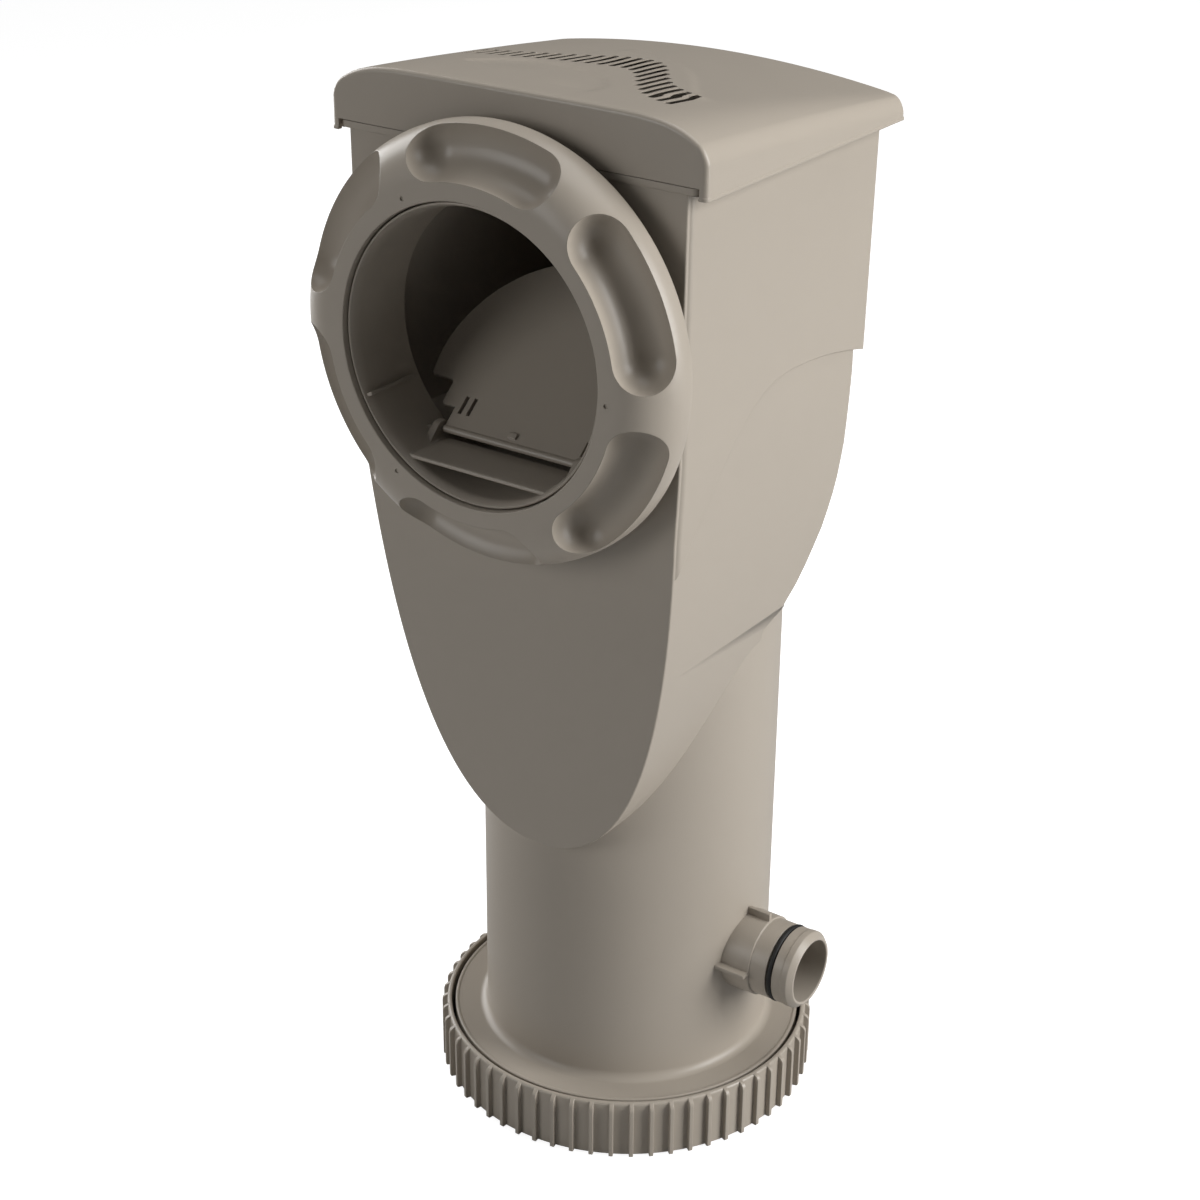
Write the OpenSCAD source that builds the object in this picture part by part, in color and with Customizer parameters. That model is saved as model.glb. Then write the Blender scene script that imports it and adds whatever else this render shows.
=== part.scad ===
// Skimming filter pump for an above-ground pool: a vented box with a round inlet that is
// clamped through the pool wall, a filter tube under it, and a wet-rotor pump in the base.
// Origin: centre of the base underside, on the tube axis. +Z is up, the inlet faces -Y
// and the outlet spigot points along +X. Millimetres.

/* [Filter tube] */
// Outer radius of the filter tube
tube_r = 80; // [76:0.5:84]
// Wall of the filter tube
tube_wall = 3.2; // [2.4:0.1:4.5]
// Height of the seam between the tube and the back of the box
seam_z = 330; // [325:1:340]
// How far the bottom flange stands out past the sides of the box
flange_over = 5; // [3:0.5:7]
// Height of the flange skirt
flange_h = 20.5; // [16:0.5:24]
// Thickness of the flange plate and skirt
flange_t = 3; // [2:0.1:4]
// Radius of the fillet between the tube and the flange
flange_fillet = 4; // [2:0.5:6]

/* [Skimmer box] */
// Wall of the box, its divider and its rim
box_wall = 3; // [2.4:0.1:4]
// Half the width of the box at the rim
box_half_w = 95.5; // [93:0.5:98]
// Distance from the tube axis to the flat front face
front_y = 104; // [101:0.5:107]
// Distance from the tube axis to the back face at the rim
back_y = 68; // [66:0.5:70]
// Height of the rim above the base
rim_z = 553; // [548:1:560]
// How far the outward rim stands out past the sides
rim_over = 5.5; // [4:0.5:6.5]
// Height of the bottom tip of the front face
tip_z = 179.5; // [174:0.5:186]
// Height below which the front face leans back
lean_z = 385; // [375:1:388]
// Lean of the lower front face in degrees
lean_angle = 4.9; // [3:0.1:6]
// Radius of the rounded edges of the box
edge_r = 4.5; // [4.2:0.1:6]
// Height of the divider that carries the basket
divider_z = 395; // [390:1:398]

/* [Inlet] */
// Height of the inlet axis above the base
inlet_z = 464; // [462:0.5:467]
// Outer radius of the inlet throat
throat_r = 72.8; // [71:0.2:74]
// Wall of the inlet throat
throat_wall = 3.3; // [2.5:0.1:4]
// How far the throat stands out from the front face
throat_len = 33; // [31:0.5:36]
// Thickness of the soft wall gasket
gasket_t = 3.5; // [2.5:0.1:4.5]
// Radial width of the gasket ring
gasket_w = 9; // [7:0.5:10]
// Room left for the pool wall between gasket and washer
wall_room = 2.5; // [2:0.1:4]
// Thickness of the slip washer
washer_t = 1.7; // [1.2:0.1:2]

/* [Flange nut] */
// Outer radius of the flange nut
nut_r = 106.2; // [105.5:0.1:110]
// Depth of the nut from its back to its front face
nut_depth = 27.7; // [26:0.1:30]
// Radius of the domed shoulder of the nut
nut_dome_r = 23; // [20:0.5:25]
// Number of finger scoops
scoop_count = 6; // [5:1:8]
// Radius of the ball-ended cutter of a scoop
scoop_r = 14.5; // [13:0.1:15]
// Radius on which the scoops lie
scoop_ring_r = 95.5; // [94:0.5:97]
// Length of a scoop between its ball ends in degrees
scoop_span = 32.5; // [28:0.5:36]
// Angle of the first scoop in degrees
scoop_start = 26.6; // [0:0.1:59]

/* [Weir door] */
// Room between the throat and the arched edge of the weir door
weir_room = 5.5; // [5.5:0.5:9]
// Thickness of the weir door
weir_t = 2; // [1.6:0.1:3]
// How much narrower than the throat the door is below its side notches, on each side
foot_in = 21.5; // [19.5:0.5:23.5]
// Lean of the door behind the upright at rest in degrees
weir_lean = 50; // [40:1:60]
// Radius of the hinge pin
pin_r = 1.2; // [1:0.1:1.6]

/* [Lid] */
// How far the sides of the lid stand out past the rim
lid_over = 4.8; // [3.5:0.1:6]
// Wall of the lid
lid_wall = 2.5; // [2:0.1:2.8]
// Height of the front of the lid at its middle, above the rim
lid_crown = 29; // [26:0.5:34]
// How much lower the back of the lid is than its front
lid_fall = 14; // [8:0.5:16]
// How far the skirt hangs below the rim
lid_skirt = 5; // [4:0.5:7]
// Pitch of the vent slots
slot_pitch = 6.4; // [5.6:0.1:8]
// Width of a vent slot
slot_w = 3.2; // [2:0.1:4]

/* [Basket] */
// Room between the basket body and the wall of the tube
basket_room = 5.3; // [3.8:0.1:9]
// Depth of the basket
basket_depth = 50; // [40:1:60]
// Wall of the basket
basket_wall = 2; // [1.6:0.1:3]
// Radius of the basket's bail wire
bail_r = 2; // [1.5:0.1:2.5]

/* [Filter cartridge] */
// Outer radius of the filter cartridge
cartridge_r = 53; // [48:0.5:56]
// Length of the filter cartridge
cartridge_len = 203; // [180:1:206]
// Number of pleats
pleat_count = 54; // [40:1:64]
// Thickness of the end caps
cap_t = 8; // [6:0.5:10]
// Outer radius of the perforated core
core_r = 26.5; // [26:0.1:30]

/* [Outlet spigot] */
// Height of the outlet axis above the base
outlet_z = 98; // [95:0.5:100]
// Outer radius of the hose spigot
spigot_r = 21.8; // [20:0.1:23]
// Bore radius of the hose spigot
spigot_bore = 17.5; // [16:0.1:18]
// Distance from the tube axis to the mouth of the spigot
spigot_end = 120; // [116:0.5:126]
// Thickness of the black ring in the spigot's groove
o_ring_d = 3; // [2.4:0.1:3.2]
// How far the four fins stand out from the root of the spigot
fin_h = 4.4; // [3:0.1:6]

/* [Lock ring] */
// Height of the lock ring
ring_h = 34.2; // [33:0.1:36]
// Wall of the lock ring behind its ribs
ring_wall = 2.7; // [2.2:0.1:3.5]
// Height of the grip ribs of the lock ring
rib_h = 2.9; // [1.5:0.1:3.5]
// Number of grip ribs
rib_count = 60; // [48:1:72]

/* [Motor and pump] */
// Thickness of the base plate of the motor
base_plate_t = 6; // [5.5:0.5:7]
// How far the standing face of the base lies inside the flange
foot_room = 8.5; // [7.5:0.5:12]
// Room between the motor can and the wall of the tube
can_room = 14.8; // [13:0.1:17]
// Height of the motor can
can_h = 56; // [52:0.5:58]
// Radius of the pump shaft
shaft_r = 3; // [2.5:0.1:3.5]
// Outer radius of the rotor magnet
rotor_r = 12.6; // [11:0.1:13]
// Room between the impeller and the wall of the volute
impeller_room = 9; // [6:0.5:14]
// Number of impeller vanes
vane_count = 6; // [4:1:8]
// Land outside the chamber of the volute, which carries its screws
screw_land = 16; // [15:0.5:19]
// Wall of the volute
volute_wall = 3; // [2.5:0.1:3.5]

/* [Fits] */
// Gap between pieces that rest on each other
seat_gap = 0.3; // [0.2:0.05:0.4]
// Radial gap round large turning pieces
turn_gap = 0.35; // [0.3:0.05:0.5]
// Radial gap of a shaft or pin in its bush
running_gap = 0.05; // [0.03:0.01:0.08]

/* [Hidden] */
$fn = 72;
ball_fn = 16;
far = 400;
eps = 0.01;

plastic = "#a8a094";
dark_plastic = "#3c3a38";
pale_plastic = "#d9dad6";
rubber = "#1c1b1a";
steel = "#9da0a3";
copper = "#b06a3a";
paper = "#e8ebee";

// Widths that follow the tube and the box
tube_in_r = tube_r - tube_wall;
basket_r = tube_in_r - basket_room;
can_r = tube_in_r - can_room;
volute_r = can_r - screw_land;
impeller_r = volute_r - impeller_room;
flange_r = box_half_w + flange_over;
foot_r = flange_r - foot_room;
rim_half_w = box_half_w + rim_over;
lid_half_w = rim_half_w + lid_over;
throat_in_r = throat_r - throat_wall;

// Heights of the stack from the floor up
ring_z = 0.8;
ring_lip_t = 3.2;
base_flange_z = ring_z + ring_lip_t + seat_gap;
base_flange_t = 7.7;
seal_z = base_flange_z + base_flange_t;
seal_t = 2;
tube_z = seal_z + seal_t;
flange_top_z = tube_z + flange_h;
can_z = base_plate_t;
can_top_z = can_z + can_h;
bearing_flange_t = 4;
volute_z = can_top_z + bearing_flange_t;
nozzle_bore = 14;
chamber_top_z = outlet_z + nozzle_bore;
volute_top_z = chamber_top_z + volute_wall;
cartridge_z = volute_top_z + seat_gap;
ring_in_r = flange_r + turn_gap;
ring_out_r = ring_in_r + ring_wall;

function bezier(p, t) = pow(1 - t, 3) * p[0] + 3 * pow(1 - t, 2) * t * p[1]
    + 3 * (1 - t) * t * t * p[2] + pow(t, 3) * p[3];
function lerp(a, b, t) = a + (b - a) * t;

module ring(r_out, r_in, h) {
    difference() {
        cylinder(r = r_out, h = h);
        translate([0, 0, -1]) cylinder(r = r_in, h = h + 2);
    }
}

// Turns a shape built up +Z so that it points out of the inlet, along -Y
module to_inlet() {
    translate([0, 0, inlet_z]) rotate([90, 0, 0]) children();
}

// Turns a shape built up +Z so that it points out of the outlet, along +X
module to_outlet() {
    translate([0, 0, outlet_z]) rotate([0, 90, 0]) children();
}

// Skimmer box. Its flat front is an arched panel that narrows to a rounded tip on the tube
taper_z = 421;
taper_half_w = box_half_w - 0.9;
cheek_in = 4.6;
cheek_drop = 131;
belly_in = 28.6;
front_outline = [[taper_half_w, taper_z], [taper_half_w - cheek_in, taper_z - cheek_drop],
    [taper_half_w - belly_in, tip_z], [0, tip_z]];
back_in = 10.2;
back_drop = 21;
heel_drop = 66;
calf_in = 26;
calf_drop = 103;
toe_in = 93;
toe_drop = 171;
back_outline = [[back_y - back_in, taper_z - back_drop], [back_y - back_in, taper_z - heel_drop],
    [back_y - calf_in, taper_z - calf_drop], [back_y - toe_in, taper_z - toe_drop]];
tip_rise = 28;
tip_keel = 48;
outline_steps = 10;
crown_drop = 60;
step_out = 1.2;
step_back = 5;

function outline_half_w(z) = z >= taper_z
    ? lerp(taper_half_w, box_half_w, (z - taper_z) / (rim_z - taper_z))
    : lookup(z, [for (i = [40:-1:0]) let (p = bezier(front_outline, i / 40)) [p[1], p[0]]]);
function front_at(z) = -front_y + max(0, lean_z - z) * tan(lean_angle);

// Balls along the edges, wrapped by a hull: a smaller ball gives the parallel inner wall
module edge_ball(x, y, z, r) {
    for (side = [-1, 1]) translate([side * x, y, z]) sphere(r = r, $fn = ball_fn);
}

module panel_form(r) {
    hull() {
        for (i = [0:outline_steps]) {
            p = bezier(front_outline, i / outline_steps);
            inset = edge_r * (p[0] > edge_r ? 1 : 0);
            rise = edge_r * pow(i / outline_steps, 3);
            edge_ball(p[0] - inset, front_at(p[1]) + edge_r, p[1] + rise, r);
        }
        for (z = [lean_z, rim_z + 2 * edge_r])
            edge_ball(outline_half_w(z) - edge_r, -front_y + edge_r, z, r);
        edge_ball(box_half_w - edge_r, back_y - step_back - edge_r, rim_z + 2 * edge_r, r);
        for (i = [0:outline_steps]) {
            p = bezier(back_outline, i / outline_steps);
            edge_ball(outline_half_w(p[1]) - edge_r, p[0] - edge_r, p[1], r);
        }
        for (z = [tip_z + tip_rise, tip_z + tip_rise / 2])
            edge_ball(outline_half_w(z) - edge_r, tip_z + tip_keel - front_y - z, z, r);
    }
}

module crown_form(r) {
    hull() {
        for (z = [lean_z - crown_drop, lean_z, taper_z]) {
            edge_ball(outline_half_w(z) + step_out - edge_r, front_at(z) + edge_r, z, r);
            edge_ball(outline_half_w(z) + step_out - edge_r, back_y - 2 - edge_r, z, r);
        }
        for (y = [-front_y + edge_r, back_y - edge_r])
            edge_ball(box_half_w + step_out - edge_r, y, rim_z + 2 * edge_r, r);
    }
}

// Side view of the region above the arched crease on the box sides
module above_crease(rise) {
    crease_top = taper_z + 20.5;
    back_part = [[back_y + 20, crease_top - 18], [back_y - 18, crease_top - 5], [20, crease_top],
        [-10, crease_top]];
    front_part = [[-10, crease_top], [-45, crease_top], [-70, crease_top - 26.5],
        [-front_y - 2, crease_top - 88]];
    points = concat([for (i = [0:8]) bezier(back_part, i / 8)],
        [for (i = [1:10]) bezier(front_part, i / 10)]);
    rotate([90, 0, 90]) translate([0, 0, -far / 2]) linear_extrude(height = far)
        polygon(concat([for (p = points) [p[0], p[1] + rise]],
            [[-front_y - 20, crease_top - 88 + rise], [-front_y - 20, rim_z + 50],
                [back_y + 20, rim_z + 50]]));
}

// Back of the tube inside the box: a round shaft that leans in to the box under the step
shoulder_z = divider_z + 7;
shoulder_top_z = taper_z + 24;
module back_shaft(r, z0) {
    shoulder_r = back_y - 6;
    translate([0, 0, z0]) cylinder(r = r, h = shoulder_z - z0);
    translate([0, 0, shoulder_z])
        cylinder(r1 = r, r2 = r + shoulder_r - tube_r, h = shoulder_top_z - shoulder_z);
}

module box_cavity() {
    seat_hole_r = basket_r + 1;
    difference() {
        union() {
            panel_form(edge_r - box_wall);
            intersection() {
                crown_form(edge_r - box_wall);
                above_crease(box_wall);
            }
            back_shaft(tube_in_r, tip_z - 20);
        }
        difference() {
            translate([-far / 2, -far / 2, divider_z]) cube([far, far, box_wall]);
            translate([0, 0, divider_z - 1]) cylinder(r = seat_hole_r, h = box_wall + 2);
        }
    }
}

module skimmer_box() {
    rim_t = 3.5;
    color(plastic) difference() {
        union() {
            panel_form(edge_r);
            intersection() {
                crown_form(edge_r);
                above_crease(0);
            }
            back_shaft(tube_r, seam_z);
            translate([-rim_half_w, -front_y, rim_z - rim_t])
                cube([2 * rim_half_w, front_y + back_y - seat_gap, rim_t]);
        }
        translate([-far / 2, -far / 2, rim_z]) cube([far, far, far / 2]);
        box_cavity();
        to_inlet() translate([0, 0, front_y - box_wall - edge_r])
            cylinder(r = throat_r + 0.1, h = throat_len);
    }
}

module filter_tube() {
    color(plastic) difference() {
        translate([0, 0, tube_z]) cylinder(r = tube_r, h = seam_z - tube_z);
        translate([0, 0, tube_z - 1]) cylinder(r = tube_in_r, h = seam_z);
        panel_form(edge_r);
        to_outlet() cylinder(r = seal_seat_r, h = tube_r + 10);
    }
}

// Bottom flange of the tube: a plate with a skirt, filleted to the tube
module tube_flange() {
    skirt_h = flange_h - 0.7;
    color(plastic) translate([0, 0, tube_z]) rotate_extrude() {
        translate([tube_r, flange_h - flange_t]) square([flange_r - 2 - tube_r, flange_t]);
        translate([flange_r - flange_t - 0.5, 0]) square([flange_t + 0.5, skirt_h]);
        difference() {
            translate([tube_r, flange_h - eps]) square([flange_fillet, flange_fillet + eps]);
            translate([tube_r + flange_fillet, flange_h + flange_fillet]) circle(r = flange_fillet);
        }
    }
}

// Inlet throat with the shelf that carries the weir hinge
shelf_drop = 12;
shelf_z = inlet_z - throat_in_r + shelf_drop;
hinge_y = -front_y - 3.3;
hinge_rise = 4.8;
hinge_z = shelf_z + hinge_rise;
lug_room = 27.5;
lug_x = throat_in_r - lug_room;
lug_t = 4;
pin_len = 2 * (lug_x + lug_t);
module inlet_throat() {
    rib_a = 207;
    shelf_front = front_y + throat_len - 3.4;
    shelf_depth = shelf_front + hinge_y - 3 + 4;
    shelf_t = 2.2;
    collar_t = 2.5;
    collar_gap = 0.1;
    color(plastic) difference() {
        union() {
            to_inlet() translate([0, 0, front_y - box_wall - collar_t])
                ring(throat_r, throat_in_r, throat_len + box_wall + collar_t);
            difference() {
                to_inlet() translate([0, 0, front_y - box_wall - collar_t])
                    ring(throat_r + 5, throat_in_r, collar_t - collar_gap);
                translate([-far / 2, -far / 2, divider_z + box_wall + seat_gap - far]) cube(far);
            }
            intersection() {
                to_inlet() cylinder(r = throat_in_r + 1, h = far);
                union() {
                    translate([-throat_in_r, -shelf_front, shelf_z - shelf_t])
                        cube([2 * throat_in_r, shelf_depth, shelf_t]);
                    to_inlet() rotate(rib_a) translate([throat_in_r - 1.4, -0.8, front_y])
                        cube([3, 1.6, throat_len - 1]);
                    for (side = [-1, 1]) translate([side * (lug_x + lug_t / 2), hinge_y, shelf_z])
                        rotate([90, 0, 90]) translate([0, 0, -lug_t / 2]) linear_extrude(height = lug_t)
                            polygon([[-12, -1], [4.5, -1], [4.5, 5], [2, 8.5], [-2, 8.5]]);
                }
            }
        }
        translate([-pin_len / 2 - seat_gap, hinge_y, hinge_z]) rotate([0, 90, 0])
            cylinder(r = pin_r + running_gap, h = pin_len + 2 * seat_gap);
    }
}

module wall_gasket() {
    color(rubber) to_inlet() translate([0, 0, front_y])
        ring(throat_r + turn_gap + gasket_w, throat_r + turn_gap, gasket_t);
}

washer_y = front_y + gasket_t + wall_room;
module slip_washer() {
    color(dark_plastic) to_inlet() translate([0, 0, washer_y])
        ring(throat_r + turn_gap + gasket_w + 4, throat_r + turn_gap, washer_t);
}

// Flange nut: a domed ring with ball-ended finger scoops and a ribbed hollow back
nut_y = washer_y + washer_t + seat_gap;
scoop_sink = 5.7;
ball_over = 0.06;
module nut_scoop() {
    floor_h = nut_depth - scoop_sink;
    rotate(-scoop_span / 2) rotate_extrude(angle = scoop_span)
        translate([scoop_ring_r, floor_h]) circle(r = scoop_r);
    for (side = [-1, 1]) rotate(side * scoop_span / 2)
        translate([scoop_ring_r, 0, floor_h]) sphere(r = scoop_r + ball_over);
}

module nut_outline() {
    dome_x = nut_r - nut_dome_r;
    bore_r = throat_r + turn_gap;
    translate([bore_r, 0]) square([dome_x - bore_r, nut_depth]);
    translate([dome_x, 0]) square([nut_dome_r, nut_depth - nut_dome_r]);
    intersection() {
        translate([dome_x, nut_depth - nut_dome_r]) circle(r = nut_dome_r);
        translate([bore_r, 0]) square([nut_r, nut_depth]);
    }
}

module flange_nut() {
    hub_r = throat_r + 6;
    pocket_r = nut_r - 4;
    pocket_depth = 4.5;
    pitch = 360 / scoop_count;
    color(plastic) to_inlet() translate([0, 0, nut_y]) difference() {
        rotate_extrude() nut_outline();
        for (i = [0:scoop_count - 1]) rotate(-scoop_start - i * pitch) nut_scoop();
        difference() {
            translate([0, 0, -1]) ring(pocket_r, hub_r, pocket_depth + 1);
            for (i = [0:2 * scoop_count - 1]) rotate(-scoop_start - (i + 0.5) * pitch / 2)
                translate([hub_r - 1, -1.2, 0]) cube([pocket_r - hub_r + 2, 2.4, pocket_depth + 1]);
        }
    }
}

module weir_door() {
    knuckle_r = pin_r + 1.2;
    weir_r = throat_in_r - weir_room;
    weir_foot = throat_in_r - foot_in;
    arch_s = lug_x;
    knuckle_len = lug_x - lug_t / 2 - 0.5;
    notch_s = 26;
    foot_s = 12;
    color(plastic) translate([0, hinge_y, hinge_z]) rotate([-weir_lean, 0, 0]) difference() {
        union() {
            rotate([90, 0, 0]) translate([0, 0, -weir_t / 2]) linear_extrude(height = weir_t) difference() {
                intersection() {
                    translate([0, arch_s]) circle(r = weir_r);
                    translate([-far / 2, 0]) square([far, far]);
                }
                for (side = [-1, 1]) {
                    translate([side * (weir_foot + 20) - 20, -1]) square([40, notch_s + 1]);
                    translate([side * (knuckle_len + 20) - 20, -1]) square([40, foot_s + 1]);
                    translate([side * (lug_x - 8) - 1, foot_s - 3]) square([2, 9]);
                    translate([side * (lug_x - 13) - 1, foot_s - 3]) square([2, 9]);
                }
            }
            translate([-knuckle_len, 0, 0]) rotate([0, 90, 0])
                cylinder(r = knuckle_r, h = 2 * knuckle_len);
        }
        translate([-far / 2, 0, 0]) rotate([0, 90, 0]) cylinder(r = pin_r + running_gap, h = far);
    }
}

module weir_pin() {
    color(steel) translate([-pin_len / 2, hinge_y, hinge_z]) rotate([0, 90, 0])
        cylinder(r = pin_r, h = pin_len);
}

// Lid: a crowned cover that falls towards the back, with a bow of slots cut along Y
lid_edge_r = 3;
lid_corner_r = 5;
lid_arch = 5.5;
lid_back_y = back_y + 4;
lid_z = rim_z - lid_skirt;
function lid_profile(drop) = concat(
    [for (i = [-8:8]) let (x = i / 8 * (lid_half_w - lid_edge_r - lid_corner_r))
        [x, rim_z + lid_crown - drop - lid_edge_r - lid_arch * pow(x / lid_half_w, 2)]],
    [for (side = [-1, 1]) for (a = [30, 60, 90])
        [side * (lid_half_w - lid_edge_r - lid_corner_r * (1 - sin(a))),
            rim_z + lid_crown - drop - lid_edge_r - lid_arch * 0.86 - lid_corner_r * (1 - cos(a))]]);

module lid_form(r) {
    hull() {
        for (p = lid_profile(0)) translate([p[0], -front_y - 1 + lid_edge_r, p[1]])
            sphere(r = r, $fn = ball_fn);
        for (p = lid_profile(lid_fall)) translate([p[0], lid_back_y - 3 - lid_edge_r, p[1]])
            sphere(r = r, $fn = ball_fn);
        for (y = [-front_y - 1 + lid_edge_r, lid_back_y - lid_edge_r])
            edge_ball(lid_half_w - lid_edge_r, y, lid_z - 2 * lid_edge_r, r);
    }
}

// Middle of the slot band: it bows back in the centre and sweeps forward to the right end
function band_y(x) = -5 - (x > 0 ? 60 : 20) * (1 - exp(-pow(x / (x > 0 ? 36 : 50), 2)));
function band_len(x) = x > 0 ? 27 : 20 + 8 * exp(-pow((x + 15) / 25, 2));

module lid() {
    slot_from = 10.8 - lid_half_w;
    slot_to = lid_half_w - 38.8;
    rib_w = 2;
    in_w = lid_half_w - lid_wall;
    color(plastic) {
        difference() {
            lid_form(lid_edge_r);
            lid_form(lid_edge_r - lid_wall);
            translate([-far / 2, -far / 2, lid_z - 50]) cube([far, far, 50]);
            translate([-rim_half_w - 0.4, -front_y - 2, lid_z - 1])
                cube([2 * rim_half_w + 0.8, 10, lid_skirt + 1 + seat_gap]);
            for (x = [slot_from:slot_pitch:slot_to])
                translate([x - slot_w / 2, band_y(x) - band_len(x) / 2, rim_z + 2])
                    cube([slot_w, band_len(x), lid_crown + lid_edge_r]);
        }
        for (side = [-1, 1]) for (y = [-70, -10, 50])
            translate([side * (in_w - 3) - 3.1, y, rim_z + seat_gap]) cube([6.2, rib_w, 8]);
    }
}

// Leaf basket that hangs in the divider
basket_rim_z = divider_z + box_wall;
basket_rim_t = 3;
bail_y = 1.5;
module basket() {
    bottom_z = basket_rim_z - basket_depth;
    floor_r = basket_r - 4;
    body_h = basket_depth + basket_rim_t;
    slat_pitch = floor_r * 0.148;
    rows = 3;
    slot_h = (basket_depth - 14) / rows - 3;
    color(dark_plastic) difference() {
        union() {
            translate([0, 0, bottom_z]) cylinder(r1 = floor_r, r2 = basket_r, h = body_h);
            translate([0, 0, basket_rim_z]) cylinder(r = basket_r + 3.5, h = basket_rim_t);
        }
        translate([0, 0, bottom_z + basket_wall])
            cylinder(r1 = floor_r - basket_wall, r2 = basket_r - basket_wall, h = body_h);
        for (row = [0:rows - 1]) for (i = [0:11]) rotate(i * 30 + 15)
            translate([floor_r - 8, -9, bottom_z + 8 + row * (slot_h + 3)]) cube([20, 18, slot_h - 2]);
        for (i = [-5:5]) {
            half = sqrt(pow(floor_r - 8, 2) - pow(abs(i) * slat_pitch + 2, 2));
            translate([i * slat_pitch - 2, -half, bottom_z - 1]) cube([4, 2 * half, basket_wall + 2]);
        }
    }
    color(dark_plastic) for (side = [-1, 1]) difference() {
        translate([side * (basket_r + 0.2) - 1.8, bail_y - 4, basket_rim_z + basket_rim_t - eps])
            cube([3.6, 8, 7]);
        translate([side * (basket_r + 0.2) - 6, bail_y, basket_rim_z + basket_rim_t + bail_r + 1])
            rotate([0, 90, 0]) cylinder(r = bail_r + running_gap, h = 12);
    }
}

module basket_handle() {
    bow_r = basket_r - 6;
    pivot_z = basket_rim_z + basket_rim_t + bail_r + 1;
    color(dark_plastic) translate([0, bail_y, pivot_z]) {
        rotate_extrude(angle = 180) translate([bow_r, 0]) circle(r = bail_r);
        for (side = [-1, 1]) translate([side * (bow_r + 4) - 4.2, 0, 0]) rotate([0, 90, 0])
            cylinder(r = bail_r, h = 8.4);
    }
}

// Filter cartridge: pleated media round a perforated core, between two end caps
media_z = cartridge_z + cap_t;
media_h = cartridge_len - 2 * cap_t;
module cartridge_media() {
    pleat_in = core_r + 2;
    pleat_out = cartridge_r - 1.5;
    sheet = 1.1;
    outer = [for (i = [0:2 * pleat_count - 1])
        let (a = i * 180 / pleat_count, r = i % 2 == 0 ? pleat_out : pleat_in + sheet + 1)
        [r * cos(a), r * sin(a)]];
    inner = [for (i = [0:2 * pleat_count - 1])
        let (a = i * 180 / pleat_count, r = i % 2 == 0 ? pleat_out - 4 : pleat_in)
        [r * cos(a), r * sin(a)]];
    color(paper) translate([0, 0, media_z]) linear_extrude(height = media_h) difference() {
        polygon(outer);
        polygon(inner);
    }
}

module cartridge_core() {
    core_wall = 2;
    rows = 9;
    pitch = media_h / rows;
    color(pale_plastic) translate([0, 0, media_z]) difference() {
        ring(core_r, core_r - core_wall, media_h);
        for (row = [0:rows - 1]) for (i = [0:2]) rotate(i * 60 + (row % 2) * 30)
            translate([-core_r - 2, -5, (row + 0.5) * pitch - 6]) cube([2 * core_r + 4, 10, 12]);
    }
}

module cartridge_cap(hole_r) {
    difference() {
        union() {
            cylinder(r = cartridge_r, h = cap_t - 1);
            cylinder(r = cartridge_r - 1, h = cap_t);
        }
        translate([0, 0, -1]) cylinder(r = hole_r, h = cap_t + 2);
    }
}

module cartridge_bottom_cap() {
    color(pale_plastic) translate([0, 0, media_z]) mirror([0, 0, 1]) cartridge_cap(volute_neck_r + seat_gap);
}

module cartridge_top_cap() {
    color(pale_plastic) translate([0, 0, media_z + media_h]) cartridge_cap(volute_neck_r + seat_gap);
}

// Side spigot for the return hose, with a ribbed root on the tube
root_end = tube_r + 14;
groove_x = root_end + 12;
seal_seat_x = tube_r + 0.5;
seal_seat_r = spigot_bore + 1;
o_ring_r = spigot_r + 0.1;
module outlet_spigot() {
    root_r = spigot_r + 0.8;
    chamfer = 1.4;
    fin_t = 2.4;
    groove_w = o_ring_d + 0.8;
    color(plastic) difference() {
        union() {
            to_outlet() cylinder(r = root_r, h = root_end);
            to_outlet() cylinder(r = spigot_r, h = spigot_end - chamfer);
            to_outlet() translate([0, 0, spigot_end - chamfer])
                cylinder(r1 = spigot_r, r2 = spigot_r - chamfer, h = chamfer);
            for (a = [0:90:270]) to_outlet() rotate(a)
                translate([root_r - 2, -fin_t / 2, 0]) cube([fin_h + 2, fin_t, root_end]);
        }
        cylinder(r = tube_r, h = 2 * outlet_z);
        to_outlet() cylinder(r = spigot_bore, h = spigot_end + 1);
        to_outlet() cylinder(r = seal_seat_r, h = seal_seat_x);
        to_outlet() translate([0, 0, groove_x - groove_w / 2])
            ring(spigot_r + 1, o_ring_r - o_ring_d - eps, groove_w);
    }
}

module outlet_o_ring() {
    color(rubber) to_outlet() translate([0, 0, groove_x]) rotate_extrude()
        translate([o_ring_r - o_ring_d / 2, 0]) circle(r = o_ring_d / 2);
}

// Lock ring: screwed up round the flange, its lip carries the motor base
function rib_outline(n, root, tip, half) = [for (i = [0:n - 1]) for (k = [0:5])
    let (a = i * 360 / n, w = [-half * 1.5, -half, -half * 0.5, half * 0.5, half, half * 1.5][k],
        r = [root, tip - 0.7, tip, tip, tip - 0.7, root][k])
    [r * cos(a) - w * sin(a), r * sin(a) + w * cos(a)]];

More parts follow.
